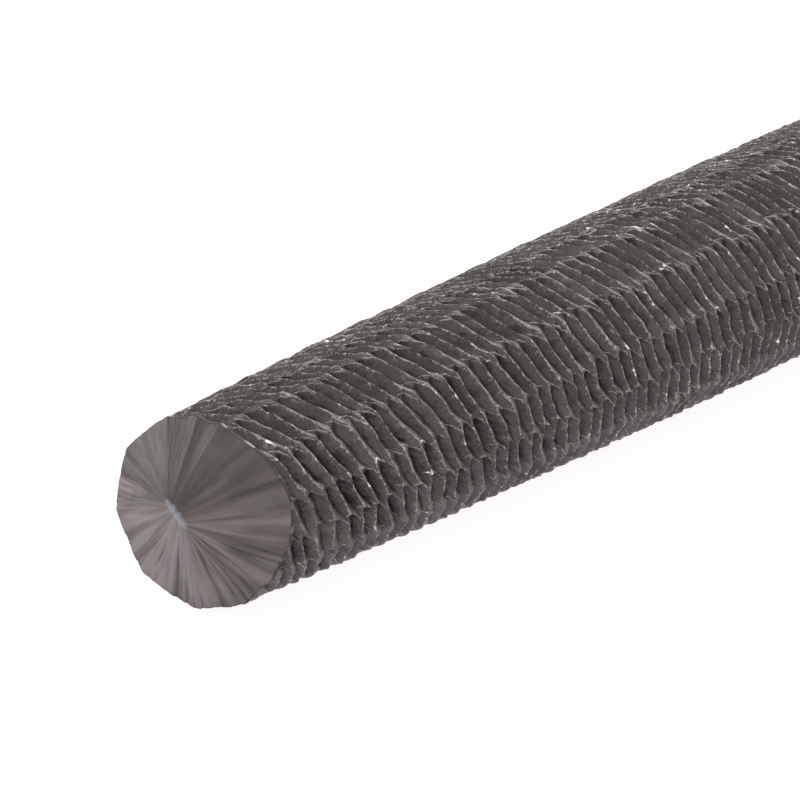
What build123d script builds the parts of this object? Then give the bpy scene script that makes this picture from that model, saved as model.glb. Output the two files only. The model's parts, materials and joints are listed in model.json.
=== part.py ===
from build123d import *
from math import cos, degrees, pi, sin
import os

# Round file, 250 mm, with its tang driven into a wooden handle.
# It is drawn lying along +X, with the rim of its point at x = 0 and the handle's butt at the far end.
# At the end it is laid on the bench: blade and belly touch z = 0, and the origin is the bottom centre.
# Sizes are in millimetres and angles in degrees, unless a comment says otherwise.

# Blade
blade_length = 250.0
blade_diameter = 9.5
point_diameter = 6.6
taper_length = 67.0
point_height = 1.0
point_land = 0.3
heel_diameter = 9.3
heel_length = 13.0

# Teeth, cut in rows along the blade, each cut slanted by one pitch across its row
tooth_pitch = 0.8
tooth_rows = 12
tooth_depth = 0.26
tooth_face = 0.2

# Tang, forged flat and tapered from the same bar
shoulder_length = 7.0
tang_length = 55.0
tang_width = 7.0
tang_thickness = 5.6
tang_corner = 0.6
tang_end_width = 3.2
tang_end_thickness = 2.4

# Handle, turned in beech and planed flat on eight sides
handle_length = 112.0
handle_gap = 4.0
spigot_diameter = 19.0
spigot_length = 16.0
bead_diameter = 24.0
bead_width = 4.0
neck_diameter = 20.0
neck_from_bead = 7.0
neck_slope = 0.3
belly_diameter = 31.0
belly_from_bead = 38.0
waist_diameter = 28.0
waist_from_butt = 28.0
butt_diameter = 30.0
butt_length = 12.0
butt_crown = 2.0
butt_round = 7.0
handle_flats = 8
across_flats = 27.0

# Socket in the handle
socket_clearance = 0.05
pilot_diameter = 3.0
pilot_length = 6.0

# Hole to hang the file by
hang_hole_diameter = 6.0
hang_hole_from_butt = 13.0
hang_hole_chamfer = 0.8

# Ferrule, pressed from steel tube and turned in at its mouth
ferrule_wall = 1.0
ferrule_clearance = 0.05
ferrule_lip = 2.5
ferrule_round = 0.7

# Pins through the ferrule, filed flush
pin_count = 2
pin_diameter = 1.8
pin_from_bead = 3.8
pin_length = 6.0
pin_point_length = 1.2
pin_recess = 0.05
pin_clearance = 0.03

# Places along the file and sizes that follow from those above
teeth_start = point_land
teeth_end = blade_length - heel_length
tooth_count = round((teeth_end - teeth_start) / tooth_pitch)
fitted_pitch = (teeth_end - teeth_start) / tooth_count
tang_start = blade_length + shoulder_length
tang_tip = tang_start + tang_length
handle_start = tang_start + handle_gap
handle_end = handle_start + handle_length
bead_start = handle_start + spigot_length
bead_end = bead_start + bead_width
ferrule_bore = spigot_diameter / 2 + ferrule_clearance
ferrule_radius = ferrule_bore + ferrule_wall
pin_place = bead_start - pin_from_bead


def radius_over_teeth(x):
    """Radius over the crests at x: full behind the taper, and curving in to the point."""
    share_left = max(0.0, 1 - x / taper_length)
    return (blade_diameter - (blade_diameter - point_diameter) * share_left**2) / 2


def tooth_corner(x, row_edge, depth):
    """Corner of a tooth at x, on the edge between two rows, so deep below the crests."""
    angle = 2 * pi * row_edge / tooth_rows
    radius = radius_over_teeth(x) - depth
    return Vector(x, radius * cos(angle), radius * sin(angle))


def root(tooth, row_edge):
    """Bottom of the cut in front of a tooth."""
    return tooth_corner(teeth_start + tooth * fitted_pitch, row_edge, tooth_depth)


def crest(tooth, row_edge):
    """Cutting edge of a tooth. Its steep face, towards the point, is short."""
    return tooth_corner(teeth_start + tooth * fitted_pitch + tooth_face, row_edge, 0)


def saw_line(row_edge, first_tooth, last_tooth):
    """Zigzag of roots and crests along one edge of a row."""
    corners = [root(first_tooth, row_edge)]
    for tooth in range(first_tooth, last_tooth):
        corners += [crest(tooth, row_edge), root(tooth + 1, row_edge)]
    return Wire.make_polygon(corners, close=False)


def flat(*corners):
    """Plane face through its corners."""
    return Face(Wire.make_polygon(corners))


def tooth_row():
    """Faces of one row. Its two edges are joined one tooth apart, which slants the cuts."""
    last = tooth_count
    slanted = Shell.make_loft([saw_line(0, 0, last - 1), saw_line(1, 1, last)], ruled=True)
    at_point = [
        flat(root(0, 0), root(0, 1), crest(0, 1)),
        flat(root(0, 0), crest(0, 1), root(1, 1)),
    ]
    at_heel = [
        flat(root(last, 1), root(last - 1, 0), crest(last - 1, 0)),
        flat(root(last, 1), crest(last - 1, 0), root(last, 0)),
    ]
    return slanted.faces() + at_point + at_heel


def section(*outline):
    """Plane face inside an outline of distance along the file and radius."""
    return make_face(Curve() + list(outline))


def rod(start, length, radius):
    """Round bar along the file's axis."""
    return Pos(start, 0, 0) * extrude(Plane.YZ * Circle(radius), length)


def open_end(solid, opening, end):
    """Faces of a solid, with an opening cut in its first or last plane face along the file."""
    closed = solid.faces().filter_by(Axis.X).sort_by(Axis.X)[end]
    rest = [face for face in solid.faces() if not face.is_same(closed)]
    return rest + (closed - opening).faces()


def tang_section(x, width, thickness, corner, clearance):
    """Outline of the tang at x, grown by a clearance all round."""
    outline = RectangleRounded(thickness + 2 * clearance, width + 2 * clearance, corner + clearance)
    return Pos(x, 0, 0) * (Plane.YZ * outline)


def tang_taper(clearance):
    """Flat taper of the tang, or, with a clearance, the socket that it fills."""
    wide = tang_section(tang_start, tang_width, tang_thickness, tang_corner, clearance)
    narrow = tang_section(
        tang_tip + clearance, tang_end_width, tang_end_thickness, tang_corner, clearance
    )
    return loft([wide, narrow], ruled=True)


def stem():
    """Plain heel behind the teeth, and the tang, with the flats running out on the round bar."""
    heel = rod(teeth_end, heel_length, heel_diameter / 2)
    bar = rod(blade_length, shoulder_length, heel_diameter / 2)
    full = tang_section(blade_length, heel_diameter, heel_diameter, tang_corner, 0)
    wide = tang_section(tang_start, tang_width, tang_thickness, tang_corner, 0)
    shoulder = bar & loft([full, wide], ruled=True)
    return heel + shoulder + tang_taper(0)


def file_blade():
    """Toothed blade, heel and tang in one piece, closed at the point by a low cone."""
    row = tooth_row()
    teeth = [face.rotate(Axis.X, 360 / tooth_rows * index) for index in range(tooth_rows) for face in row]
    point_radius = point_diameter / 2
    tip = Polyline(
        (-point_height, 0), (0, point_radius), (point_land, point_radius), (point_land, 0), close=True
    )
    point = revolve(section(tip), Axis.X)
    first_roots = flat(*[root(0, edge) for edge in range(tooth_rows)])
    last_roots = flat(*[root(tooth_count, edge) for edge in range(tooth_rows)])
    skin = teeth + open_end(point, first_roots, -1) + open_end(stem(), last_roots, 0)
    return Solid(Shell(skin))


def handle_outline():
    """Lines and curves of the turned handle, as distance and radius, from spigot to butt."""
    spigot_radius = spigot_diameter / 2
    bead_middle = (bead_start + bead_width / 2, bead_diameter / 2)
    neck = (bead_end + neck_from_bead, neck_diameter / 2)
    belly = (bead_end + belly_from_bead, belly_diameter / 2)
    waist = (handle_end - waist_from_butt, waist_diameter / 2)
    butt = (handle_end - butt_length, butt_diameter / 2)
    butt_edge = (handle_end - butt_crown, butt_diameter / 2)
    return [
        Polyline(
            (handle_start, 0),
            (handle_start, spigot_radius),
            (bead_start, spigot_radius),
            (bead_start, ferrule_radius),
        ),
        ThreePointArc((bead_start, ferrule_radius), bead_middle, (bead_end, ferrule_radius)),
        Spline(
            (bead_end, ferrule_radius), neck, belly, waist, butt, tangents=[(1, -neck_slope), (1, 0)]
        ),
        Line(butt, butt_edge),
        TangentArc((handle_end, 0), butt_edge, tangent=(0, 1)),
    ]


def handle():
    """Turned and flatted grip, with the tang's socket, the hanging hole and the holes for the pins."""
    half = section(*handle_outline(), Line((handle_end, 0), (handle_start, 0)))
    butt_corner = half.vertices().sort_by_distance((handle_end - butt_crown, butt_diameter / 2))[0]
    grip = revolve(fillet(butt_corner, butt_round), Axis.X)
    octagon = RegularPolygon(across_flats / 2, handle_flats, major_radius=False)
    octagon = Plane.YZ * (Rot(0, 0, 180 / handle_flats) * octagon)
    grip &= Pos(handle_start, 0, 0) * extrude(octagon, handle_length)
    grip -= tang_taper(socket_clearance)
    grip -= rod(tang_tip, pilot_length, pilot_diameter / 2)
    grip -= Pos(handle_end - hang_hole_from_butt, 0, 0) * hang_hole()
    for hole in pin_holes():
        grip -= hole
    return grip


def hang_hole():
    """Cross hole with countersunk mouths on two opposite flats."""
    radius = hang_hole_diameter / 2
    mouth = Cone(
        radius, radius + hang_hole_chamfer, hang_hole_chamfer, align=(Align.CENTER, Align.CENTER, Align.MAX)
    )
    hole = Cylinder(radius, across_flats)
    for side in (0, 180):
        hole += Rot(side, 0, 0) * (Pos(0, 0, across_flats / 2) * mouth)
    return Rot(90, 0, 0) * hole


def ferrule():
    """Thin collar on the spigot: its turned-in lip covers the wood's front edge."""
    front = handle_start - ferrule_wall
    lip_radius = spigot_diameter / 2 - ferrule_lip
    outline = Polyline(
        (front, lip_radius),
        (front, ferrule_radius),
        (bead_start, ferrule_radius),
        (bead_start, ferrule_bore),
        (handle_start, ferrule_bore),
        (handle_start, lip_radius),
        close=True,
    )
    wall = section(outline)
    mouth_corner = wall.vertices().sort_by_distance((front, ferrule_radius))[0]
    collar = revolve(fillet(mouth_corner, min(ferrule_round, 0.9 * ferrule_wall)), Axis.X)
    for hole in pin_holes():
        collar -= hole
    return collar


def around_ferrule(piece):
    """Copies of a piece drawn along Z, set round the ferrule at its own radius."""
    turn = 360 / pin_count
    seat = Pos(pin_place, 0, ferrule_radius)
    return [Rot(90 + turn * index, 0, 0) * (seat * piece) for index in range(pin_count)]


def pin_holes():
    """Holes through the ferrule and into the spigot."""
    depth = pin_length + pin_clearance
    drill = Cylinder(
        pin_diameter / 2 + pin_clearance, 2 * depth, align=(Align.CENTER, Align.CENTER, Align.CENTER)
    )
    return around_ferrule(drill)


def ferrule_pins():
    """Short pointed pins, their ends filed just below the ferrule's surface."""
    radius = pin_diameter / 2
    outline = Polyline(
        (0, -pin_recess),
        (radius, -pin_recess),
        (radius, pin_point_length - pin_length),
        (0, -pin_length),
        close=True,
    )
    pin = Rot(90, 0, 0) * revolve(section(outline), Axis.Y)
    return Compound(children=around_ferrule(pin.solid()))


def reach(outline, tilt):
    """How far an outline reaches below the file's axis, once the axis is tilted by an angle in radians."""
    return max(radius * cos(tilt) - x * sin(tilt) for x, radius in outline)


def rest_tilt():
    """Tilt in radians at which the teeth and the handle's belly touch one plane, by halving."""
    steps = 400
    halvings = 40
    level, steep = 0.0, pi / 6
    blade_line = [(x, radius_over_teeth(x)) for x in range(round(blade_length))]
    neck_to_butt = handle_outline()[2]
    places = [neck_to_butt.position_at(step / steps) for step in range(steps + 1)]
    handle_line = [(place.X, min(place.Y, across_flats / 2)) for place in places]
    for _ in range(halvings):
        middle = (level + steep) / 2
        if reach(handle_line, middle) > reach(blade_line, middle):
            level = middle
        else:
            steep = middle
    return level


def place_on_bench(pieces):
    """Where the pieces lie when the file rests on z = 0, with the origin at their bottom centre."""
    tilt = Rot(0, -degrees(rest_tilt()), 0)
    boxes = [(tilt * piece).bounding_box() for piece in pieces]
    middle_x = (min(box.min.X for box in boxes) + max(box.max.X for box in boxes)) / 2
    bottom = min(box.min.Z for box in boxes)
    return Pos(-middle_x, 0, -bottom) * tilt


pieces = {
    "file_blade": file_blade(),
    "handle": handle(),
    "ferrule": ferrule(),
    "ferrule_pins": ferrule_pins(),
}
place = place_on_bench(pieces.values())
os.makedirs("parts", exist_ok=True)
for name, piece in pieces.items():
    export_step(place * piece, f"parts/{name}.step")
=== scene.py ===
"""Looks of a round file: teeth, point, tang, handle and ferrule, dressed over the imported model."""

import json
from math import cos, floor, pi, radians, sin

import bmesh
import bpy
from mathutils import Matrix, Vector, noise


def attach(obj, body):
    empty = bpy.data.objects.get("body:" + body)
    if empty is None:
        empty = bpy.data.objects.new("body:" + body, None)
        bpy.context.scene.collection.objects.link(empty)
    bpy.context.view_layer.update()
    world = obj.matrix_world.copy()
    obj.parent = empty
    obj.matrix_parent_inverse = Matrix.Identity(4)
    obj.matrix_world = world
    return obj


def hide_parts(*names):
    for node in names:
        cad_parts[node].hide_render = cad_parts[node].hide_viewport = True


bl_info = {
    "name": "Round file",
    "version": (1, 0, 0),
    "blender": (4, 5, 0),
    "location": "3D View > Sidebar > Round file",
    "description": "Builds a toothed round file with its tang, handle and ferrule",
    "category": "Add Mesh",
}

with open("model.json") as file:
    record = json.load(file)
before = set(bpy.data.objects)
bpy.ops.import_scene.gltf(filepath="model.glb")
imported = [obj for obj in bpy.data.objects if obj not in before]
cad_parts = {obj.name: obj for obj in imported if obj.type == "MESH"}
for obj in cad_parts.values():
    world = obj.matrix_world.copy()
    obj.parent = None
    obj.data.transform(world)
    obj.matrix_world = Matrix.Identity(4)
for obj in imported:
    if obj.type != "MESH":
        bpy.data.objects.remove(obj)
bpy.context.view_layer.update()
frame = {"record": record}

MM = 0.001
FULL_TURN = 2 * pi

# Middle of the ferrule's wall, as far behind the rim of the point as the record's seat says
SEAT_BEHIND_POINT = 268.85 * MM
SEAT = next(mount for mount in frame["record"]["mounts"] if mount["name"] == "ferrule_seat")
ALONG = -Vector(SEAT["axis"])


def place_on_frame():
    """Takes a drawing with the blade along +X, its rim at the origin, to where the file lies."""
    turn = Vector((1, 0, 0)).rotation_difference(ALONG).to_matrix().to_4x4()
    rim = Vector(SEAT["pos_m"]) - ALONG * SEAT_BEHIND_POINT
    return Matrix.Translation(rim) @ turn


class Term:
    """A socket's value in a node tree. Arithmetic on it adds Math nodes."""

    def __init__(self, sheet, socket):
        self.sheet, self.socket = sheet, socket

    def math(self, operation, *others):
        values = dict(enumerate((self, *others)))
        return self.sheet.take("ShaderNodeMath", {"operation": operation}, values)

    def __add__(self, other):
        return self.math("ADD", other)

    __radd__ = __add__

    def __sub__(self, other):
        return self.math("SUBTRACT", other)

    def __rsub__(self, other):
        return (-self) + other

    def __neg__(self):
        return self.math("MULTIPLY", -1.0)

    def __mul__(self, other):
        return self.math("MULTIPLY", other)

    __rmul__ = __mul__

    def __truediv__(self, other):
        return self.math("DIVIDE", other)

    def __rtruediv__(self, other):
        return self.math("POWER", -1.0) * other

    def __pow__(self, other):
        return self.math("POWER", other)

    def __rpow__(self, other):
        return self.sheet.take("ShaderNodeMath", {"operation": "POWER"}, {0: other, 1: self})

    def __lt__(self, other):
        return self.math("LESS_THAN", other)

    def __gt__(self, other):
        return self.math("GREATER_THAN", other)

    def floor(self):
        return self.math("FLOOR")

    def absolute(self):
        return self.math("ABSOLUTE")

    def least(self, other):
        return self.math("MINIMUM", other)

    def most(self, other):
        return self.math("MAXIMUM", other)

    def between(self, low, high):
        return self.most(low).least(high)

    def towards(self, other, share):
        """This value, taken some share of the way to another."""
        return self + (other - self) * share


class Sheet:
    """A node tree under construction."""

    def __init__(self, tree):
        self.tree = tree

    def node(self, kind, settings=None, values=None):
        """Adds one node: its settings first, then what its sockets hold or are linked to."""
        node = self.tree.nodes.new(kind)
        for name, setting in (settings or {}).items():
            setattr(node, name, setting)
        for key, value in (values or {}).items():
            self.fill(self.find(node.inputs, key), value)
        return node

    def fill(self, socket, value):
        """Links a socket to a term, or sets it to a plain value."""
        if isinstance(value, Term):
            self.tree.links.new(value.socket, socket)
        else:
            socket.default_value = value

    def take(self, kind, settings=None, values=None, output=0):
        """Adds one node and gives one of its outputs."""
        return Term(self, self.find(self.node(kind, settings, values).outputs, output))

    @staticmethod
    def find(sockets, key):
        """A socket by its place, or by its name among those that are in use."""
        if isinstance(key, int):
            return sockets[key]
        return next(socket for socket in sockets if socket.name == key and socket.enabled)

    def vector(self, x, y, z):
        """Vector of three parts, each a term or a plain number."""
        return self.take("ShaderNodeCombineXYZ", None, {"X": x, "Y": y, "Z": z})

    def split(self, vector):
        """The three parts of a vector."""
        parts = self.node("ShaderNodeSeparateXYZ", None, {0: vector})
        return [Term(self, socket) for socket in parts.outputs]

    def mix(self, share, first, second):
        """Colour between two colours, each a term or a plain colour."""
        values = {"Factor": share}
        for side, shade in (("A", first), ("B", second)):
            values[side] = shade if isinstance(shade, Term) else (*shade, 1.0)
        return self.take("ShaderNodeMix", {"data_type": "RGBA"}, values, "Result")

    def noise(self, x, y, z, detail=2.0):
        """Noise from -0.5 to 0.5 at a place given by three terms."""
        values = {"Vector": self.vector(x, y, z), "Scale": 1.0, "Detail": detail}
        return self.take("ShaderNodeTexNoise", None, values) - 0.5

    def bump(self, height, distance, strength):
        """Normal pushed about by a height from 0 to 1 that stands for a distance."""
        values = {"Strength": strength, "Distance": distance, "Height": height}
        return self.take("ShaderNodeBump", None, values, "Normal")


# Geometry: the toothed blade


def length(name, description, default):
    """Property for a length, whose default is given in millimetres."""
    return bpy.props.FloatProperty(
        name=name, description=description, default=default * MM, unit="LENGTH", precision=5
    )


class BladeSizes(bpy.types.PropertyGroup):
    """Sizes of the toothed blade."""

    teeth_start: length("Teeth start", "How far behind the rim of the point the teeth start", 0.1)
    fine_end: length("Fine end", "Where the closely modelled teeth of the point end", 48.0)
    teeth_end: length("Teeth end", "Where the teeth give way to the plain heel", 237.0)
    pitch: length("Pitch", "From one tooth to the next along the blade", 0.8)
    body: length("Body diameter", "Diameter over the teeth behind the taper", 9.5)
    point: length("Point diameter", "Diameter over the teeth at the point", 6.6)
    taper: length("Taper length", "How far the blade curves in towards its point", 67.0)
    point_height: length("Point height", "How far the low cone stands out from its rim", 0.98)
    lap: length("Lap", "How far the rim of the point lies further back on its worn side", 0.6)
    depth: length("Cut depth", "Depth of a cut at the middle of its row", 0.36)
    wall_drop: length(
        "Wall drop", "How far the walls between two rows' cuts stay below the edges", 0.09
    )
    burr: length("Burr", "How much the cutting edges rise and fall", 0.09)
    wander: length("Wander", "How far the cuts stray from their even pitch", 0.17)
    heel: length("Heel diameter", "Diameter of the plain heel", 9.3)
    blade_end: length("Blade length", "From the rim of the point to the end of the heel", 250.0)
    shoulder: length("Shoulder length", "Over which the round heel turns into the flat tang", 7.0)
    tang: length("Tang length", "From the shoulder to the tang's tip", 55.0)
    tang_width: length("Tang width", "Width of the tang at the shoulder", 7.0)
    tang_thickness: length("Tang thickness", "Thickness of the tang at the shoulder", 5.6)
    tang_end_width: length("Tang end width", "Width of the tang at its tip", 3.2)
    tang_end_thickness: length("Tang end thickness", "Thickness of the tang at its tip", 2.4)
    rows: bpy.props.IntProperty(
        name="Rows",
        description="Rows of teeth round the blade",
        default=12,
        min=3,
        max=12,
    )
    steep: bpy.props.FloatProperty(
        name="Steep share",
        description="Share of the pitch under a tooth's steep face",
        default=0.375,
        subtype="FACTOR",
        min=0,
        max=1,
    )
    flatness: bpy.props.FloatProperty(
        name="Flatness",
        description="How nearly each cutting edge is a straight chord",
        default=0.55,
        subtype="FACTOR",
        min=0,
        max=1,
    )
    worn_side: bpy.props.FloatProperty(
        name="Worn side",
        description="Angle round the blade at which the rim lies furthest back",
        default=radians(170),
        subtype="ANGLE",
    )
    first_row: bpy.props.FloatProperty(
        name="First row",
        description="Angle round the blade at which the first row starts",
        default=radians(-6),
        subtype="ANGLE",
    )
    row_widths: bpy.props.FloatVectorProperty(
        name="Row widths",
        description="How wide each row is beside the others",
        default=(39, 38, 21, 15, 32, 29, 23, 23, 23, 38, 39, 40),
        size=12,
    )
    seed: bpy.props.IntProperty(name="Seed", description="Picks another unevenness", default=7)


class HandleSizes(bpy.types.PropertyGroup):
    """Places on the handle and ferrule that their finishes follow, from the rim of the point."""

    ferrule_front: length("Ferrule front", "Where the ferrule starts", 260.0)
    ferrule_end: length("Ferrule end", "Where the ferrule meets the bead", 277.0)
    bead_end: length("Bead end", "Where the bead meets the grip", 281.0)
    pin: length("Pin place", "Where the pins go through the ferrule", 273.2)
    pin_diameter: length("Pin diameter", "Diameter of the pins", 1.8)
    end: length("Handle end", "Where the butt ends", 373.0)
    arris: length("Arris radius", "How far from the axis the planed flats meet", 14.6)
    ring: length("Ring width", "From one growth ring to the next", 2.3)


def colour(name, description, default):
    """Property for a colour."""
    return bpy.props.FloatVectorProperty(
        name=name, description=description, default=default, size=3, subtype="COLOR", min=0, max=1
    )


class Finishes(bpy.types.PropertyGroup):
    """Colours of the steels, the wood and the stage."""

    cut_dark: colour("Cut steel, dark", "Darkest faces of the teeth", (0.039, 0.034, 0.032))
    cut_light: colour("Cut steel, light", "Lightest faces of the teeth", (0.076, 0.066, 0.063))
    # Painted shade in the roots of the teeth, standing for the shade between them; it also darkens
    # pits in the forging scale
    hollow_shade_and_dirt: colour("Gullet", "Foot of the teeth, where dirt and oil stay", (0.011, 0.010, 0.010))
    # The cutting edge colour is partly bare burr and partly painted highlight; the glint colour is a
    # painted highlight
    edge: colour("Cutting edge", "Bare burr along a cutting edge", (0.27, 0.257, 0.245))
    glint: colour("Glint", "Brightest spots of the edges", (0.86, 0.85, 0.81))
    # The mix between dark and light ground steel carries painted shade and painted light on the
    # point's sides as well as its grinding
    ground_dark: colour("Ground steel, dark", "Smooth side of the point", (0.054, 0.047, 0.045))
    ground_light: colour("Ground steel, light", "Grooved side of the point", (0.200, 0.168, 0.172))
    ground_green: colour("Ground steel, green", "Cool patches of the point", (0.138, 0.145, 0.125))
    ground_top: colour("Ground steel, top", "Bluish top of the point", (0.245, 0.27, 0.30))
    scale_dark: colour("Forging scale, dark", "Scale on heel and tang", (0.040, 0.037, 0.035))
    scale_light: colour("Forging scale, light", "Scale where it is rubbed", (0.135, 0.126, 0.118))
    temper_straw: colour("Temper, straw", "Straw tint at the shoulder", (0.120, 0.085, 0.045))
    temper_blue: colour("Temper, blue", "Blue tint behind the straw", (0.035, 0.045, 0.080))
    beech: colour("Beech", "Early wood of the handle", (0.41, 0.232, 0.115))
    beech_late: colour("Beech, late wood", "Dark edge of each growth ring", (0.27, 0.132, 0.058))
    fleck: colour("Ray fleck", "Flecks and pores in the beech", (0.19, 0.085, 0.037))
    nickel_dark: colour("Nickel, dark", "Brushed lines in the nickel plating", (0.33, 0.32, 0.295))
    nickel_light: colour("Nickel, light", "Nickel plating", (0.62, 0.605, 0.57))
    tarnish: colour("Tarnish", "Dull edge of the plating", (0.11, 0.098, 0.080))
    pin: colour("Pin steel", "Filed ends of the pins", (0.40, 0.39, 0.38))
    floor: colour("Floor", "Floor that the file lies on", (0.12, 0.118, 0.118))
    floor_glow: colour("Floor glow", "Glow that makes the floor pale", (1.0, 0.97, 0.98))
    sky: colour("Sky", "Light from all around", (0.99, 1.0, 0.95))


INPUT_KINDS = {float: "NodeSocketFloat", bpy.types.Material: "NodeSocketMaterial"}


def new_tree(name, inputs):
    """Empty Geometry Nodes tree with named inputs, and a term for each of them."""
    tree = bpy.data.node_groups.new(name, "GeometryNodeTree")
    tree.is_modifier = True
    for label, value in inputs.items():
        tree.interface.new_socket(label, in_out="INPUT", socket_type=INPUT_KINDS[type(value)])
    tree.interface.new_socket("Geometry", in_out="OUTPUT", socket_type="NodeSocketGeometry")
    sheet = Sheet(tree)
    group_input = sheet.node("NodeGroupInput")
    terms = {label: Term(sheet, group_input.outputs[label]) for label in inputs}
    return sheet, terms


def bake_tree(name, tree, inputs):
    """Runs a tree on an empty mesh and keeps its result as a plain mesh object."""
    holder = bpy.data.objects.new(name, bpy.data.meshes.new(name))
    bpy.context.scene.collection.objects.link(holder)
    modifier = holder.modifiers.new("Teeth", "NODES")
    modifier.node_group = tree
    for item in tree.interface.items_tree:
        if item.in_out == "INPUT":
            modifier[item.identifier] = inputs[item.name]
    bpy.context.view_layer.update()
    evaluated = holder.evaluated_get(bpy.context.evaluated_depsgraph_get())
    mesh = bpy.data.meshes.new_from_object(evaluated)
    holder.modifiers.clear()
    holder.data = mesh
    mesh.name = name
    return holder


def share_of(value):
    """A term or a plain number, kept between 0 and 1."""
    return value.between(0, 1) if isinstance(value, Term) else min(max(value, 0), 1)


def wound(turn, first, widths):
    """Angle round the blade at a place counted in rows, a term or a plain number, when each row
    has its own width."""
    reached = sum(share_of(turn - row) * width for row, width in enumerate(widths))
    return first + reached * (FULL_TURN / sum(widths))


# How quickly the lap fades round the rim, away from its worn side
LAP_POWER = 4

# Rows that a place on the blade can lie in, counted from its own
NEAR_ROWS = (-1.0, 0.0, 1.0)


class RowCut:
    """What one row of cuts does at a place on the blade. It holds for the geometry and for the
    finish alike, so that both follow the same edges. Its sizes are terms or plain numbers."""

    # Shares of a row's width: how far a cut reaches up and down from the middle of its row, then
    # how far that end bows up, falls from the tooth's front to its back and strays, and the
    # width over which the cut gets deep there
    TOP, TOP_BOW, TOP_FALL, TOP_STRAY, TOP_RUN = 0.43, 0.15, 0.33, 0.22, 0.12
    FOOT, FOOT_BOW, FOOT_FALL, FOOT_STRAY, FOOT_RUN = 0.66, 0.08, 0.12, 0.16, 0.34
    # Shares of the full depth: at the borders of a row, and of the shallowest and deepest cuts
    AT_BORDER, SHALLOWEST, DEEPEST = 0.78, 0.7, 1.3
    # Share of a pitch that keeps the grid's lines from falling to either side of an edge by chance
    OFF_EDGE = 0.004

    def __init__(self, sheet, size, along, turn, row_step, crest):
        row = turn.floor() + row_step
        aside = turn - row - 0.5
        row = row - (row / size["Rows"]).floor() * size["Rows"]
        quarters = (self.chance(sheet, row, size["Seed"], 0.5)[0] * 3).floor()
        count = along / size["Pitch"] - aside - quarters / 4 + self.OFF_EDGE
        tooth = count.floor()
        part = count - tooth
        deeper, shifted, self.tone = self.chance(sheet, tooth, row, size["Seed"])

        gentle = 1 - size["Steep"]
        self.rise = (1 - part / gentle).most((part - gentle) / size["Steep"])
        bow = part * (1 - part) * 4
        before = 0.5 - part
        top = self.TOP + self.TOP_BOW * bow + before * self.TOP_FALL
        foot = self.FOOT - self.FOOT_BOW * bow - before * self.FOOT_FALL
        self.over_top = aside + top + (shifted - 0.5) * self.TOP_STRAY
        over_foot = foot + (deeper - 0.5) * self.FOOT_STRAY - aside
        into = (self.over_top / self.TOP_RUN).least(over_foot / self.FOOT_RUN).between(0, 1)
        bulge = 1 - aside * aside * 4
        half_row = pi / size["Rows"]
        crest = crest * (1 - size["Flatness"] * half_row * half_row / 2 * bulge)
        share = into * (self.AT_BORDER + (1 - self.AT_BORDER) * bulge)
        share = share * (self.SHALLOWEST + (self.DEEPEST - self.SHALLOWEST) * deeper)
        root = crest - size["Wall drop"] - (size["Depth"] - size["Wall drop"]) * share
        self.radius = root.towards(crest, self.rise)

    @staticmethod
    def chance(sheet, x, y, z):
        """Three steady random numbers for a tooth or a row."""
        settings, values = {"noise_dimensions": "3D"}, {"Vector": sheet.vector(x, y, z)}
        return sheet.split(sheet.take("ShaderNodeTexWhiteNoise", settings, values, "Color"))


# How strongly the grid's columns crowd at the borders between rows, from 0 to 1
CROWDING = 0.45
# Pitches of grid beyond a stretch at either end, so that its slant is filled
SPARE_PITCHES = 2
# Share of a tooth's height from its edge or its root within which the mesh is shaded sharp
SHARP_WITHIN = 0.04
# Corners nearer than this are merged
MERGED = 0.0005 * MM


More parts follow.
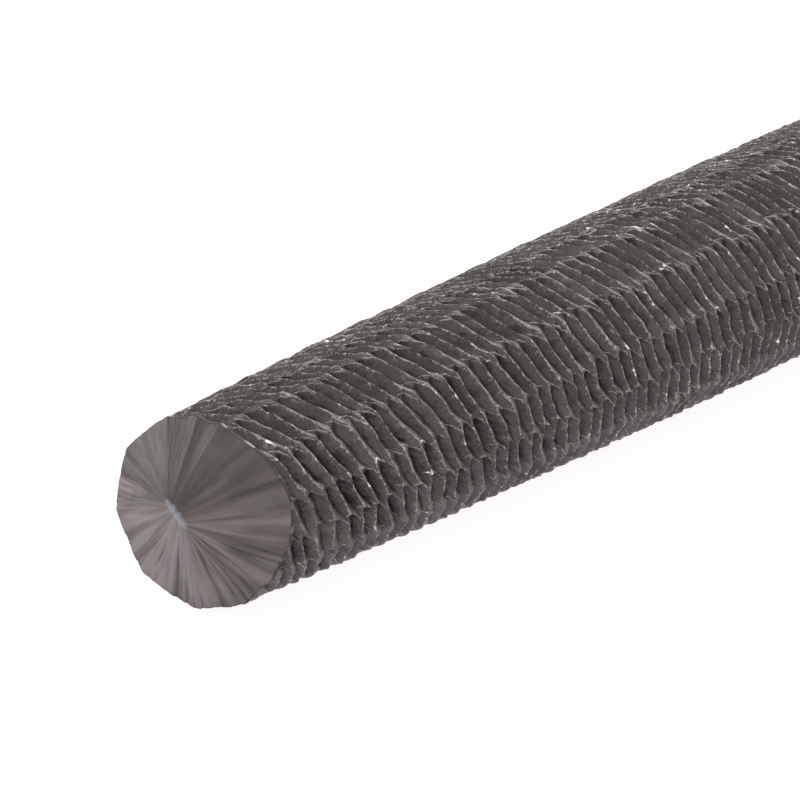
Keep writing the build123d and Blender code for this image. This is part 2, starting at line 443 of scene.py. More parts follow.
def teeth_tree(inputs, widths):
    """Tree for a stretch of toothed blade: one grid whose lines follow the slant of the cuts,
    wound round the axis and pressed in where each row was cut."""
    sheet, size = new_tree("File teeth", inputs)
    pitches = ((size["End"] - size["Start"]) / size["Pitch"]).math("CEIL")
    pitches = pitches + size["Rows"] + 2 * SPARE_PITCHES
    grid = sheet.node(
        "GeometryNodeMeshGrid",
        None,
        {
            "Size X": pitches,
            "Size Y": size["Rows"],
            "Vertices X": pitches * size["Lines per tooth"] + 1,
            "Vertices Y": size["Rows"] * size["Columns per row"] + 1,
        },
    )
    grid_x, grid_y, _ = sheet.split(sheet.take("GeometryNodeInputPosition"))
    line = grid_x + pitches / 2
    even = grid_y + size["Rows"] / 2
    turn = even - (even * FULL_TURN).math("SINE") * (CROWDING / FULL_TURN)

    first_pitch = (size["Start"] / size["Pitch"]).floor() - size["Rows"] - SPARE_PITCHES
    angle = wound(turn, size["First row"], widths)
    worn = (angle - size["Worn side"]).math("COSINE").most(0) ** LAP_POWER
    start = size["Start"] + size["Lap"] * worn
    along = ((line + turn + first_pitch) * size["Pitch"]).between(start, size["End"])
    left = (1 - along / size["Taper length"]).most(0)
    blank = (size["Body"] - (size["Body"] - size["Point"]) * left * left) / 2

    even_angle = turn * (FULL_TURN / size["Rows"])
    across = even_angle.math("COSINE")
    upward = even_angle.math("SINE")

    def cloud(scale, detail, shift):
        """Noise from about -1 to 1 that closes on itself round the blade. Each shift along the
        blade gives another one."""
        where = sheet.vector(along + shift, blank * across, blank * upward)
        settings = {"noise_dimensions": "3D", "normalize": True}
        values = {"Vector": where, "Scale": scale / MM, "Detail": detail}
        return (sheet.take("ShaderNodeTexNoise", settings, values) - 0.5) * 4

    crest = blank - size["Burr"] * (0.5 + 0.7 * cloud(2.4, 2.0, 0.0)).between(0, 1)
    first, *others = (RowCut(sheet, size, along, turn, step, crest) for step in NEAR_ROWS)
    radius, rise = first.radius, first.rise
    for cut in others:
        rise = rise.towards(cut.rise, cut.radius < radius)
        radius = radius.least(cut.radius)

    ends = (along / MM).least((size["Blade teeth end"] - along) / MM).between(0, 1)
    stray = cloud(0.45, 1.0, 0.05) * size["Wander"] * ends
    stray = stray + cloud(1.4, 1.0, 0.03) * (0.035 * MM) * ends
    inside = (1 - rise) * cloud(2.6, 2.0, 0.02) * (0.015 * MM)
    from_end = line.least(pitches - line)
    capped = from_end < 0.5 / size["Lines per tooth"]
    radius = (radius + inside).least(blank) * (1 - capped)
    moved = sheet.vector(along + stray, radius * angle.math("COSINE"), radius * angle.math("SINE"))

    shape = Term(sheet, grid.outputs["Mesh"])
    lattice = sheet.vector(along, blank * across, blank * upward)
    shape = sheet.take(
        "GeometryNodeStoreNamedAttribute",
        {"data_type": "FLOAT_VECTOR", "domain": "POINT"},
        {"Geometry": shape, "Name": "lattice", "Value": lattice},
    )
    for line_of_edges in (rise > 1 - SHARP_WITHIN, rise < SHARP_WITHIN):
        shape = sheet.take(
            "GeometryNodeSetShadeSmooth",
            {"domain": "EDGE"},
            {"Geometry": shape, "Selection": line_of_edges, "Shade Smooth": False},
        )
    for kind, values in (
        ("GeometryNodeSetPosition", {"Position": moved}),
        ("GeometryNodeMergeByDistance", {"Distance": MERGED}),
        ("GeometryNodeRealizeInstances", {}),
        ("GeometryNodeSetMaterial", {"Material": size["Steel"]}),
    ):
        shape = sheet.take(kind, None, {"Geometry": shape, **values})
    sheet.node("NodeGroupOutput", None, {"Geometry": shape})
    return sheet.tree


# Geometry: shapes turned about the blade's axis


def join_rings(shape, rings):
    """Adds the faces between each ring of corners and the next."""
    for first, second in zip(rings, rings[1:]):
        for side, corner in enumerate(first):
            after = (side + 1) % len(first)
            shape.faces.new((corner, second[side], second[after], first[after]))


def close_ring(shape, ring, x, order):
    """Adds the faces between a ring of corners and a place on the axis."""
    middle = shape.verts.new((x, 0, 0))
    for side, corner in enumerate(ring):
        shape.faces.new((corner, ring[(side + 1) % len(ring)], middle)[::order])


def mesh_of(name, shape):
    """Mesh of a finished shape, whose faces all look outwards."""
    bmesh.ops.recalc_face_normals(shape, faces=shape.faces)
    mesh = bpy.data.meshes.new(name)
    shape.to_mesh(mesh)
    shape.free()
    return mesh


def turned_mesh(name, stations, radius_at, sides):
    """Closed mesh round the X axis. A station is a distance along the axis, and radius_at gives
    the radius there at an angle."""
    shape = bmesh.new()
    rings = []
    for x in stations:
        ring = []
        for side in range(sides):
            angle = FULL_TURN * side / sides
            radius = radius_at(x, angle)
            ring.append(shape.verts.new((x, radius * cos(angle), radius * sin(angle))))
        rings.append(ring)
    join_rings(shape, rings)
    close_ring(shape, rings[0], stations[0], 1)
    close_ring(shape, rings[-1], stations[-1], -1)
    return mesh_of(name, shape)


def add_piece(name, mesh, material):
    """Puts a mesh drawn along +X on the frame, as a piece that rides on the file's one body."""
    mesh.transform(place_on_frame())
    if not mesh.materials:
        mesh.materials.append(material)
    piece = bpy.data.objects.get(name)
    if piece is None:
        piece = bpy.data.objects.new(name, mesh)
        bpy.context.scene.collection.objects.link(piece)
    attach(piece, "root")


# Finishes


def new_finish(name):
    """Material with a bare Principled shader: its sheet and its shader node."""
    material = bpy.data.materials.new(name)
    material.use_nodes = True
    sheet = Sheet(material.node_tree)
    shader = material.node_tree.nodes["Principled BSDF"]
    return material, sheet, shader


def wire(sheet, shader, **inputs):
    """Links or sets inputs of a shader, whose names are given with underscores."""
    for label, value in inputs.items():
        sheet.fill(shader.inputs[label.replace("_", " ")], value)


# How much further from a cut's upper end its burr seems for each millimetre that it lies buried
BURIED_FADES = 0.03


def file_steel(inputs, tint):
    """Hardened, nearly black file steel, bright along its cutting edges and the burrs round each
    cut's upper end, partly as bare metal and partly as painted highlight, with painted glints and
    painted shade in its roots. It works the cuts out again where it is seen, finer than the mesh."""
    material, sheet, shader = new_finish("File steel")
    lattice = sheet.take("ShaderNodeAttribute", {"attribute_name": "lattice"}, None, "Vector")

    def cloud(scale, detail, shift=0.0):
        """Noise from -0.5 to 0.5. Each shift along the blade gives another one."""
        moved = {0: lattice, 1: (shift, 0, 0)}
        place = sheet.take("ShaderNodeVectorMath", {"operation": "ADD"}, moved)
        values = {"Vector": place, "Scale": scale / MM, "Detail": detail}
        return sheet.take("ShaderNodeTexNoise", None, values) - 0.5

    along, across, upward = sheet.split(lattice)
    blank = (across * across + upward * upward).math("SQRT")
    crest = blank - inputs["Burr"] * (0.5 + 2.8 * cloud(2.4, 2.0)).between(0, 1)
    turn = upward.math("ARCTAN2", across) * (inputs["Rows"] / FULL_TURN)
    along = along + cloud(3.0, 2.0) * (0.12 * MM)
    turn = turn + cloud(3.4, 2.0, 0.1 * MM) * 0.07

    # The deepest cut wins, and gives its height and tone
    before, own, after = (RowCut(sheet, inputs, along, turn, step, crest) for step in NEAR_ROWS)
    radius, rise, tone = own.radius, own.rise, own.tone
    for cut in (before, after):
        wins = cut.radius < own.radius
        rise, tone = rise.towards(cut.rise, wins), tone.towards(cut.tone, wins)
        radius = radius.least(cut.radius)
    before_rim, own_rim, after_rim = (
        cut.over_top.absolute() + (cut.radius - radius) * (BURIED_FADES / MM)
        for cut in (before, own, after)
    )
    rim = before_rim.least(own_rim).least(after_rim)

    # Bare metal, lightened further as painted highlight: along the cutting edges, round the upper
    # ends of the cuts and in thin veins
    broad = cloud(0.5, 2.0)
    speck = cloud(5.0, 3.0)
    grit = cloud(11.0, 2.0, 0.5)
    ragged = speck * 0.4 + grit * 0.28
    cutting = ((rise + ragged + broad * 0.25 - 0.925) * 14).between(0, 1)
    burr = ((0.030 - rim + ragged * 0.2 + broad * 0.04) * 45).between(0, 1)
    burr = burr * ((0.97 - rise) * 8).between(0, 1)
    upper = ((rise - 0.4) * 3).between(0, 1)
    veins = ((0.018 - cloud(1.6, 3.0, 0.2).absolute()) * 70).between(0, 1)
    veins = veins.most(((0.020 - cloud(3.1, 2.0, 0.6).absolute()) * 60).between(0, 1) * 0.7)
    edge = cutting.most(burr * 0.85).most(veins * upper * 0.28)
    # Painted glints: near-white spots of colour on the edges stand for highlights, and the edges are
    # also smoother there
    glint = ((cloud(3.2, 2.0, 0.3) + broad * 0.3 - 0.14) * 12).between(0, 1)

    # Dull faces, torn in places, and roots darkened as painted shade; the torn places take the same
    # dark colour
    patch = cloud(0.15, 3.0) + 0.5
    paler = (patch * 0.5 + tone * 0.8 + speck * 0.5 - 0.2).between(0, 1)
    face = sheet.mix(paler, tint.cut_dark, tint.cut_light)
    torn = ((cloud(2.3, 3.0, 0.8) - 0.06) * 8).between(0, 1) * ((0.75 - rise) * 4).between(0, 0.6)
    # Painted shade: the roots of the teeth darken where shade falls between the teeth
    foot = ((0.24 - rise + speck * 0.3) * 6).between(0, 0.85)
    face = sheet.mix(foot.most(torn), face, tint.hollow_shade_and_dirt)
    shade = sheet.mix(edge, face, sheet.mix(glint, tint.edge, tint.glint))
    rough = 0.50 - edge * glint * 0.28 + speck * 0.25
    height = burr * 0.9 + edge * 0.5 + speck * 1.2 + grit * 0.6 - torn
    normal = sheet.bump(height, 0.04 * MM, 0.9)
    metal = 0.35 + 0.35 * edge
    wire(sheet, shader, Base_Color=shade, Roughness=rough, Metallic=metal, Normal=normal)
    return material


def drawn_place(sheet):
    """Where a point lies on the drawing, in millimetres: along the blade, then across and up."""
    back = place_on_frame().inverted()
    values = {
        "Vector": sheet.take("ShaderNodeTexCoord", None, None, "Object"),
        "Scale": (1 / MM, 1 / MM, 1 / MM),
        "Rotation": back.to_euler(),
        "Location": back.to_translation() / MM,
    }
    return sheet.split(sheet.take("ShaderNodeMapping", {"vector_type": "POINT"}, values))


def forged_steel(blade, tint):
    """Scale on the heel and the tang, rubbed along the heel, with temper tints at the shoulder."""
    material, sheet, shader = new_finish("Forged steel")
    x, y, z = drawn_place(sheet)
    turned = sheet.noise(x * 9.0, y * 0.35, z * 0.35, 3.0)
    scaly = sheet.noise(x * 0.5, y * 0.7, z * 0.7, 5.0)
    pits = ((sheet.noise(x * 2.6, y * 2.6, z * 2.6, 2.0) - 0.17) * 9).between(0, 1)
    behind = x - blade.blade_end / MM
    sheltered = ((behind + 1) / 6).between(0, 1)
    rubbed = (0.35 + turned * 0.9 + scaly * 1.3 - sheltered * 0.3).between(0, 1)
    face = sheet.mix(rubbed, tint.scale_dark, tint.scale_light)
    edge = behind + scaly * 6
    straw = (1 - ((edge + 1.5) / 2.2).absolute()).between(0, 1)
    blue = (1 - ((edge - 2.5) / 3.5).absolute()).between(0, 1)
    face = sheet.mix(straw * 0.55, face, tint.temper_straw)
    face = sheet.mix(blue * 0.7, face, tint.temper_blue)
    face = sheet.mix(pits * 0.6, face, tint.hollow_shade_and_dirt)
    rough = 0.42 + scaly * 0.35 + pits * 0.2
    normal = sheet.bump(turned * 0.5 + scaly * 0.5 - pits * 0.6, 0.05 * MM, 0.8)
    metal = 0.55 + rubbed * 0.3
    wire(sheet, shader, Base_Color=face, Roughness=rough, Metallic=metal, Normal=normal)
    return material


def oiled_beech(handle, tint):
    """Beech with growth rings round a pith off to one side, ray flecks, pores and worn arrises."""
    material, sheet, shader = new_finish("Oiled beech")
    x, y, z = drawn_place(sheet)
    pith_aside, pith_below = 26.0, 19.0
    drift = sheet.noise(x * 0.018, y * 0.05, z * 0.05, 2.0)
    side, height = y - pith_aside + x * 0.012, z + pith_below + drift * 5
    from_pith = (side * side + height * height).math("SQRT")
    around = height.math("ARCTAN2", side) * 34.0
    count = (from_pith + sheet.noise(x * 0.03, y * 0.12, z * 0.12, 3.0) * 2.2) / (handle.ring / MM)
    ring = count - count.floor()
    late = ring ** 5 * 0.8 + sheet.noise(count.floor() * 7.3, 0.0, 0.0) * 0.4
    soft = sheet.noise(x * 0.05, y * 0.5, z * 0.5, 3.0)

    def dashes(long, deep, thick, size, shift):
        """Spindles that lie along the grain and in the plane of the rays."""
        place = sheet.vector(x * long + shift, from_pith * deep, around * thick)
        values = {"Vector": place, "Scale": 1.0, "Randomness": 1.0}
        near = sheet.take("ShaderNodeTexVoronoi", {"feature": "F1"}, values, "Distance")
        return ((size - near) * 9).between(0, 1)

    flecks = dashes(0.42, 0.28, 2.1, 0.24, 0.0).most(dashes(0.62, 0.5, 3.3, 0.22, 7.7) * 0.7)
    pores = ((sheet.noise(x * 0.8, y * 9.0, z * 9.0, 2.0) - 0.13) * 9).between(0, 1)
    wood = sheet.mix((late + soft * 0.7).between(0, 1), tint.beech, tint.beech_late)
    wood = sheet.mix(flecks * 0.5, wood, tint.fleck)
    wood = sheet.mix(pores * 0.35, wood, tint.fleck)

    outward = (y * y + z * z).math("SQRT")
    arris = ((outward - (handle.arris / MM - 0.55)) * 2.2).between(0, 1)
    grime = sheet.noise(x * 0.25, y * 0.25, z * 0.25, 4.0)
    grip_middle, grip_reach = 320.0, 45.0
    held = (1 - ((x - grip_middle) / grip_reach).absolute()).between(0, 1) * 0.30
    bead = (1 - ((x - handle.bead_end / MM) / 2.2).absolute()).between(0, 1) * 0.55
    butt = ((x - (handle.end / MM - 0.6)) * 3).between(0, 1) * 0.5
    dirt = (held + bead + butt + grime * 0.7 - arris * 0.3).between(0, 0.8)
    wood = sheet.mix(dirt, wood, sheet.mix(0.5, tint.beech_late, tint.fleck))
    wood = sheet.mix(arris * 0.35, wood, tint.beech)
    rough = 0.42 + grime * 0.15 + pores * 0.2 - arris * 0.08
    normal = sheet.bump(0.5 - pores * 0.8 - flecks * 0.25 + late * 0.2, 0.06 * MM, 0.7)
    wire(sheet, shader, Base_Color=wood, Roughness=rough, Normal=normal, Coat_Roughness=0.34)
    wire(sheet, shader, Coat_Weight=(0.30 + held * 0.6 + grime * 0.3).between(0, 1))
    return material


def brushed_nickel(handle, tint):
    """Plated collar, brushed round and round, dull at its ends and where the pins were filed."""
    material, sheet, shader = new_finish("Brushed nickel")
    x, y, z = drawn_place(sheet)
    lines = sheet.noise(x * 26.0, y * 0.25, z * 0.25, 3.0)
    smudge = sheet.noise(x * 0.35, y * 0.35, z * 0.35, 4.0)
    scratch = ((0.010 - sheet.noise(x * 0.9, y * 0.5, z * 0.5, 1.0).absolute()) * 90).between(0, 1)
    ding = ((sheet.noise(x * 0.8, y * 0.8, z * 0.8, 1.0) - 0.2) * 8).between(0, 1)
    front, back = handle.ferrule_front / MM, handle.ferrule_end / MM
    lip = (1 - ((x - front - 0.9) / 0.5).absolute()).between(0, 0.35)
    rim = (1 - (back - x) / 0.9).between(0, 1).most(lip)
    beside = x - handle.pin / MM
    from_pin = (beside * beside + z * z).math("SQRT") - handle.pin_diameter / 2 / MM
    filed = (1 - from_pin / 1.6).between(0, 1) * ((y.absolute() - 8) * 4).between(0, 1)
    bright = (0.6 + lines * 1.3 + smudge * 0.6).between(0, 1)
    plate = sheet.mix(bright, tint.nickel_dark, tint.nickel_light)
    seam = (0.14 - from_pin.absolute()).between(0, 0.14) * 6
    dull = (rim ** 2 * 0.9 + smudge * 1.4 + ding * 0.3 + seam).between(0, 0.85)
    plate = sheet.mix(dull, plate, tint.tarnish)
    plate = sheet.mix(scratch * 0.35, plate, tint.nickel_light)
    rough = 0.27 + lines * 0.22 + smudge * 0.12 + dull * 0.2 + filed * 0.1
    flat_file = sheet.noise((x + z) * 7, (x - z) * 0.5, 3.0, 2.0) * filed
    height = 0.5 + lines * 0.5 - scratch * 0.4 - ding * 0.8 + flat_file * 0.8
    normal = sheet.bump(height, 0.04 * MM, 0.9)
    wire(sheet, shader, Base_Color=plate, Roughness=rough, Metallic=1.0, Normal=normal)
    return material


def filed_pin(tint):
    """Pin ends filed flush, scratched across."""
    material, sheet, shader = new_finish("Filed pin")
    x, y, z = drawn_place(sheet)
    strokes = sheet.noise((x + z) * 8.0, (x - z) * 0.6, y, 3.0)
    patch = sheet.noise(x * 1.2, y * 1.2, z * 1.2, 2.0)
    steel = sheet.mix((0.45 + strokes * 1.6 + patch * 0.6).between(0, 1), tint.tarnish, tint.pin)
    normal = sheet.bump(strokes, 0.05 * MM, 0.9)
    rough = 0.36 + strokes * 0.3
    wire(sheet, shader, Base_Color=steel, Roughness=rough, Metallic=1.0, Normal=normal)
    return material


def refinish(node, material):
    """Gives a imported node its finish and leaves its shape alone."""
    piece = bpy.data.objects[node]
    if not piece.material_slots:
        raise RuntimeError(f"{node} has no slot for its finish")
    for slot in piece.material_slots:
        slot.material = material


class CutTeeth(bpy.types.Operator):
    """Cuts the rows of teeth, closely near the point and more plainly behind it"""

    bl_idname = "round_file.cut_teeth"
    bl_label = "Cut the teeth"

    def execute(self, context):
        size = context.scene.round_file_blade
        inputs = {
            "Blade teeth end": size.teeth_end,
            "Pitch": size.pitch,
            "Rows": float(size.rows),
            "Body": size.body,
            "Point": size.point,
            "Taper length": size.taper,
            "Depth": size.depth,
            "Wall drop": size.wall_drop,
            "Burr": size.burr,
            "Wander": size.wander,
            "Steep": size.steep,
            "Flatness": size.flatness,
            "First row": size.first_row,
            "Worn side": size.worn_side,
            "Seed": float(size.seed),
        }
        steel = file_steel(inputs, context.scene.round_file_finishes)
        inputs["Steel"] = steel
        stretches = {
            "teeth_at_point": (size.teeth_start, size.lap, size.fine_end, 8.0, 8.0),
            "teeth_behind": (size.fine_end, 0.0, size.teeth_end, 8.0, 4.0),
        }
        tree = None
        for name, (start, lap, end, lines, columns) in stretches.items():
            inputs |= {"Start": start, "Lap": lap, "End": end}
            inputs |= {"Lines per tooth": lines, "Columns per row": columns}
            tree = tree or teeth_tree(inputs, size.row_widths[: size.rows])
            teeth = bake_tree(name, tree, inputs)
            if not teeth.data.polygons:
                raise RuntimeError(f"the tree made no teeth for {name}")
            add_piece(name, teeth.data, steel)
            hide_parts("file_blade")
        return {"FINISHED"}


# Side of the point that was left nearly smooth, across and up
SMOOTH_SIDE = Vector((0.087, 0.996))
# Three sets of grooves in the point, from broad to fine: how many there are round it, how much
# they change on their way out, how narrow and how deep they are
GROOVES = ((3.4, 0.5, 3.0, 0.45), (8.0, 0.8, 4.5, 0.6), (15.0, 1.3, 4.0, 0.3))
# Corners of the point: round it, and from its middle to its rim
POINT_SIDES, POINT_STEPS = 480, 28
# Middle and half of the short ridge on top of the cone, across and up
RIDGE_MIDDLE = Vector((0.165, 0.213)) * MM
RIDGE_HALF = Vector((-0.33, -0.36)) * MM
# How far the rim stays inside the teeth, how far each of two hidden rings lies behind the one
# before and inside the rim, and where the point is closed behind them
RIM_INSET, RING_STEP, RING_INSET, POINT_BACK = 0.02 * MM, 0.06 * MM, 0.005 * MM, 0.4 * MM


def wave(*place):
    """Smooth noise from -1 to 1."""
    return noise.noise(Vector(place))


def groove_depth(around, reach):
    """How far the point is cut in by the uneven grooves round it, from 0 to about 1. They run
    outwards, start and fade where they like, and leave one side nearly smooth."""
    rough_side = max(0.0, 0.5 - 0.5 * around.dot(SMOOTH_SIDE))
    depth = 0.0
    for count, run, narrow, share in GROOVES:
        line = max(0.0, 1 - narrow * abs(wave(*(around * count), reach * run + count)))
        here = 0.35 + 1.6 * wave(*(around * count * 0.6), reach * 2.2 - count) + 0.5 * reach
        depth += share * line * share_of(here)
    return depth * (0.1 + 0.9 * rough_side ** 1.5)


def point_place(size, row, around, lap, cut, reach):
    """Where the ground cone lies some share of the way to its rim, back and out, and how far out
    the rim is. A row's rim is nearly a straight chord, apart from its worn side."""
    half_row = pi / size.rows
    chord = cos(half_row) / cos((row - floor(row) - 0.5) * 2 * half_row)
    nick = 0.007 * abs(wave(*(around * 9), 0)) + 0.015 * cut * reach
    rim = (size.point / 2 - RIM_INSET) * (1 - (1.1 - 0.8 * lap) * (1 - chord)) * (1 - nick)
    top = RIDGE_MIDDLE + RIDGE_HALF * around.dot(RIDGE_HALF.normalized())
    x = -size.point_height * (1 - reach) * (1 - 0.12 * reach)
    sunk = cut * 0.13 + 0.03 * wave(*(around * 2.5), reach)
    x += sunk * MM * reach * (1.2 - 0.2 * reach) * (1 - 0.6 * reach ** 4)
    x += size.lap * lap * reach ** 3
    return x, top.lerp(around * rim, reach), rim


def point_mesh(size):
    """Low cone whose top is a short ridge, cut by uneven grooves out to a nicked rim."""
    widths = size.row_widths[: size.rows]
    shape = bmesh.new()
    sweep = shape.verts.layers.float_vector.new("sweep")
    groove = shape.verts.layers.float.new("groove")
    rings = []
    for step in range(POINT_STEPS + 3):
        reach, behind = min(1.0, step / POINT_STEPS), max(0, step - POINT_STEPS)
        ring = []
        for side in range(POINT_SIDES):
            row = size.rows * side / POINT_SIDES
            angle = wound(row, size.first_row, widths)
            around = Vector((cos(angle), sin(angle)))
            lap = max(0.0, cos(angle - size.worn_side)) ** LAP_POWER
            cut = groove_depth(around, reach)
            x, out, rim = point_place(size, row, around, lap, cut, reach)
            if behind:
                x, out = max(x, 0) + RING_STEP * behind, around * (rim - RING_INSET)
            corner = shape.verts.new((x, *out))
            corner[sweep] = (*around, reach)
            corner[groove] = cut
            ring.append(corner)
        rings.append(ring)
    join_rings(shape, rings)
    close_ring(shape, rings[-1], POINT_BACK, -1)
    bmesh.ops.remove_doubles(shape, verts=shape.verts, dist=0.0001 * MM)
    return mesh_of("point", shape)


def ground_point(tint):
    """Bare steel of the point, streaked from its middle outwards, with painted light on one side and
    painted shade on another, a smooth side darkened partly as painted shade, and grooves darkened as
    painted shade.
    """
    material, sheet, shader = new_finish("Ground point")
    sweep = sheet.take("ShaderNodeAttribute", {"attribute_name": "sweep"}, None, "Vector")
    across, up, reach = sheet.split(sweep)
    groove = sheet.take("ShaderNodeAttribute", {"attribute_name": "groove"}, None, "Fac")

    def streaks(count, run, detail, shift):
        """Noise from 0 to 1, drawn out from the middle of the point to its rim."""
        where = sheet.vector(across * count + shift, up * count, reach * run)
        values = {"Vector": where, "Scale": 1.0, "Detail": detail}
        return sheet.take("ShaderNodeTexNoise", None, values)

    def towards_side(angle, power):
        """How squarely a spot of the point lies towards one side of it."""
        return (across * cos(radians(angle)) + up * sin(radians(angle))).most(0) ** power

    broad = streaks(2.6, 0.7, 1.0, 0.0) - 0.5
    fine = streaks(13.0, 2.2, 3.0, 4.0) - 0.5
    facets = ((streaks(5.5, 1.1, 1.0, 2.0) - 0.5) * 5).between(-0.5, 0.5)
    rough_side = 0.5 - 0.5 * (across * SMOOTH_SIDE.x + up * SMOOTH_SIDE.y)
    worked = 0.15 + 0.85 * (rough_side * 1.6).between(0, 1)
    mottle = sheet.noise(across * reach * 2.4, up * reach * 2.4, 5.0, 3.0)
    # The smooth side is darker, partly from its finer grinding and partly as painted shade; the
    # grooves are darkened as painted shade; towards the rim the tone shifts with the side
    light = rough_side * 0.92 + (broad * 0.6 + fine * 0.7 + facets * 0.5) * worked + mottle * 0.5
    light = light + reach * (0.15 - 0.25 * rough_side) - groove * 0.7
    # Painted light on the side of the point at -5 degrees and painted shade on the side at 42
    # degrees
    light = light + towards_side(-5, 3) * 0.36 - towards_side(42, 4) * 0.45
    lit = (light - 0.05).between(0, 1)
    greenish = ((streaks(1.7, 0.9, 2.0, 11.0) - 0.52) * 6).between(0, 0.3)
    green = sheet.mix(lit, tint.ground_dark, tint.ground_green)
    face = sheet.mix(greenish, sheet.mix(lit, tint.ground_dark, tint.ground_light), green)
    middle = ((0.055 - reach + fine * 0.06 + broad * 0.04) * 26).between(0, 1)
    face = sheet.mix(middle * 0.7, face, tint.ground_top)
    edge = ((reach - 0.985) * 80).between(0, 1)
    spots = ((streaks(9.0, 3.0, 2.0, 7.0) - 0.55) * 12).between(0, 1)
    face = sheet.mix(edge * (1 - spots), face, tint.cut_dark)
    rough = 0.45 + fine * 0.3 + edge * (0.25 - 0.45 * spots)
    scratches = sheet.bump(streaks(30.0, 5.0, 3.0, 9.0), 0.03 * MM, 0.5)
    wire(sheet, shader, Base_Color=face, Roughness=rough, Metallic=0.55, Normal=scratches)
    return material


class GrindPoint(bpy.types.Operator):
    """Closes the blade at its front with a low cone, ground in uneven spokes"""

    bl_idname = "round_file.grind_point"
    bl_label = "Grind the point"

    def execute(self, context):
        scene = context.scene
        steel = ground_point(scene.round_file_finishes)
        add_piece("point", point_mesh(scene.round_file_blade), steel)
        return {"FINISHED"}


# Corners round the tang, how nearly square it is, and how far its faces are beaten in
TANG_SIDES, SQUARENESS, BEATEN = 128, 9, 0.04 * MM


def spread(start, reach, count):
    """Places spread evenly over a stretch, with both of its ends."""
    return [start + reach * step / count for step in range(count + 1)]


class ForgeTang(bpy.types.Operator):
    """Shapes the plain heel, the shoulder and the flat tapered tang"""

    bl_idname = "round_file.forge_tang"
    bl_label = "Forge the tang"

    def execute(self, context):
        scene = context.scene
        size = scene.round_file_blade
        shoulder_end = size.blade_end + size.shoulder
        heel = size.heel / 2
        wide, thick = size.tang_width / 2, size.tang_thickness / 2
        end_wide, end_thick = size.tang_end_width / 2, size.tang_end_thickness / 2

        def radius_at(x, angle):
            if x <= size.blade_end:
                return heel
            if x <= shoulder_end:
                share = (x - size.blade_end) / size.shoulder
                spans = ((heel, wide), (heel, thick))
            else:
                share = (x - shoulder_end) / size.tang
                spans = ((wide, end_wide), (thick, end_thick))
            half_wide, half_thick = (start + (end - start) * share for start, end in spans)
            across, upward = abs(cos(angle) / half_thick), abs(sin(angle) / half_wide)
            flat = (across ** SQUARENESS + upward ** SQUARENESS) ** (-1 / SQUARENESS)
            beaten = BEATEN * wave(x / MM * 0.35, 2 * cos(angle), 2 * sin(angle))
            return min(heel, flat - abs(beaten))

        stations = [size.teeth_end + behind * MM for behind in (0, 0.2, 0.4)]
        stations += spread(size.teeth_end, size.blade_end - size.teeth_end, 6)[1:-1]
        stations += spread(size.blade_end, size.shoulder, 20)
        stations += spread(shoulder_end, size.tang, 16)[1:]
        mesh = turned_mesh("tang", stations, radius_at, TANG_SIDES)
        steel = forged_steel(size, scene.round_file_finishes)
        add_piece("heel_and_tang", mesh, steel)
        return {"FINISHED"}


class OilHandle(bpy.types.Operator):
    """Gives the turned handle its oiled beech"""

    bl_idname = "round_file.oil_handle"
    bl_label = "Oil the handle"

    def execute(self, context):
        scene = context.scene
        refinish("handle", oiled_beech(scene.round_file_handle, scene.round_file_finishes))
        return {"FINISHED"}


class PlateFerrule(bpy.types.Operator):
    """Plates and brushes the ferrule and files its pins flush"""

    bl_idname = "round_file.plate_ferrule"
    bl_label = "Plate the ferrule"

    def execute(self, context):
        scene = context.scene
        refinish("ferrule", brushed_nickel(scene.round_file_handle, scene.round_file_finishes))
        refinish("ferrule_pins", filed_pin(scene.round_file_finishes))
        return {"FINISHED"}


# The stage

# Soft round lights: where each hangs, where it is aimed, how wide and how strong it is
LIGHTS = {
    "back light": ((1.03, 0.08, 0.88), (-0.10, 0, 0), 1.6, 23.0),
    "top light": ((-0.15, -0.25, 1.3), (-0.1, 0, 0), 1.2, 4.5),
    "front light": ((-0.40, 0.30, 0.02), (-0.186, 0, 0), 0.2, 0.8),
}
SKY_STRENGTH, FLOOR_STRENGTH = 1.06, 0.95
FLOOR_WIDTH = 6
# The camera's lens and sensor in millimetres, how far it is turned and raised, and how far it
# stands to the right of the rim of the point, above it and away from it, in millimetres
LENS, SENSOR = 162.3, 36
TURNED, RAISED = radians(-57.8), radians(14.3)
FROM_RIM = (6.446, 3.622, 115.0)


def lay_floor(context, tint):
    """Pale floor without a visible edge, under the file at rest."""
    bpy.ops.mesh.primitive_plane_add(size=FLOOR_WIDTH, location=(0, 0, 0))
    floor_plane = context.object
    floor_plane.name = "floor"
    material, sheet, shader = new_finish("Pale floor")
    wire(sheet, shader, Base_Color=(*tint.floor, 1), Roughness=0.9)
    wire(sheet, shader, Emission_Color=(*tint.floor_glow, 1), Emission_Strength=FLOOR_STRENGTH)
    floor_plane.data.materials.append(material)


def hang_lights(scene, tint):
    """Bright sky all around, and the soft lights."""
    world = bpy.data.worlds.new("Studio")
    world.use_nodes = True
    background = world.node_tree.nodes["Background"]
    background.inputs["Color"].default_value = (*tint.sky, 1)
    background.inputs["Strength"].default_value = SKY_STRENGTH
    scene.world = world
    scene.view_settings.view_transform = "Standard"
    for name, (place, aim, width, power) in LIGHTS.items():
        light = bpy.data.lights.new(name, "AREA")
        light.shape, light.size, light.energy = "DISK", width, power
        holder = bpy.data.objects.new(name, light)
        holder.location = place
        gaze = Vector(aim) - Vector(place)
        holder.rotation_euler = gaze.to_track_quat("-Z", "Y").to_euler()
        scene.collection.objects.link(holder)


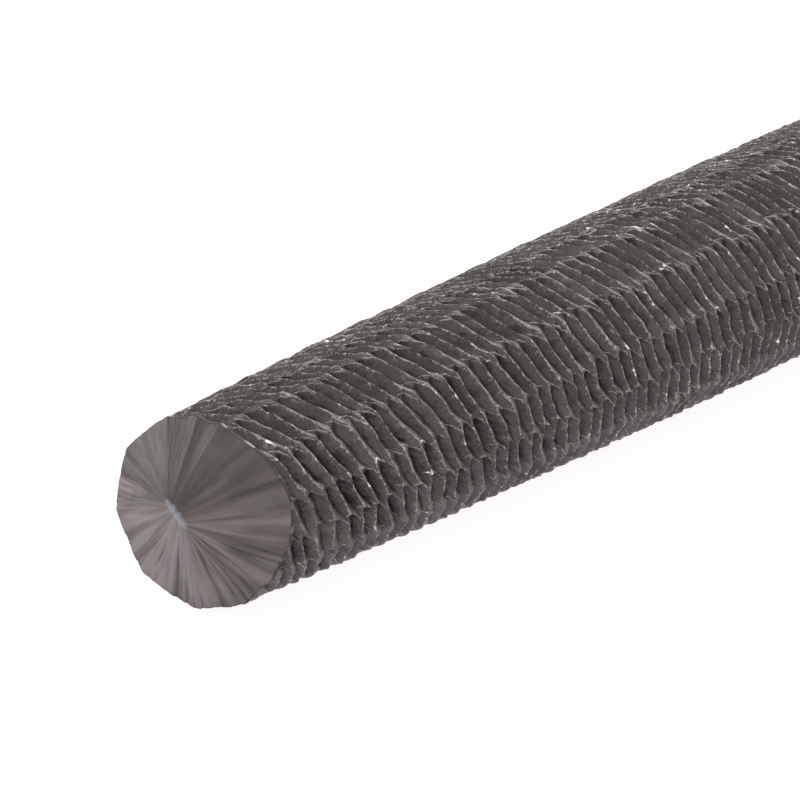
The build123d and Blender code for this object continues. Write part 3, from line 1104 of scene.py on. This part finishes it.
def set_camera(scene):
    """Camera that looks at the point from the photo's side."""
    camera_data = bpy.data.cameras.new("camera")
    camera_data.lens = LENS
    camera_data.sensor_width = SENSOR
    camera_data.clip_start = 0.01
    camera = bpy.data.objects.new("camera", camera_data)
    right = Vector((cos(TURNED), sin(TURNED), 0))
    back = Vector((sin(TURNED) * cos(RAISED), -cos(TURNED) * cos(RAISED), sin(RAISED)))
    up = back.cross(right)
    aside, above, away = FROM_RIM
    spot = place_on_frame().translation + (aside * right + above * up + away * back) * MM
    turn = Matrix((right, up, back)).transposed().to_4x4()
    camera.matrix_world = Matrix.Translation(spot) @ turn
    scene.collection.objects.link(camera)
    scene.camera = camera


class SetStage(bpy.types.Operator):
    """Lays the pale floor, hangs the soft lights and sets the camera"""

    bl_idname = "round_file.set_stage"
    bl_label = "Set the stage"

    def execute(self, context):
        tint = context.scene.round_file_finishes
        lay_floor(context, tint)
        hang_lights(context.scene, tint)
        set_camera(context.scene)
        return {"FINISHED"}


class RoundFilePanel(bpy.types.Panel):
    """Lists the steps that build the file"""

    bl_label = "Round file"
    bl_idname = "VIEW3D_PT_round_file"
    bl_space_type = "VIEW_3D"
    bl_region_type = "UI"
    bl_category = "Round file"

    def draw(self, context):
        for step in STEPS:
            self.layout.operator(step.bl_idname)


GROUPS = {
    "round_file_blade": BladeSizes,
    "round_file_handle": HandleSizes,
    "round_file_finishes": Finishes,
}
STEPS = (CutTeeth, GrindPoint, ForgeTang, OilHandle, PlateFerrule, SetStage)
CLASSES = (*GROUPS.values(), *STEPS, RoundFilePanel)


def register():
    for each in CLASSES:
        bpy.utils.register_class(each)
    for name, group in GROUPS.items():
        setattr(bpy.types.Scene, name, bpy.props.PointerProperty(type=group))


def unregister():
    for name in GROUPS:
        delattr(bpy.types.Scene, name)
    for each in reversed(CLASSES):
        bpy.utils.unregister_class(each)


def main():
    """Builds the file step by step."""
    register()
    for step in STEPS:
        area, name = step.bl_idname.split(".")
        getattr(getattr(bpy.ops, area), name)()


if __name__ == "__main__":
    main()
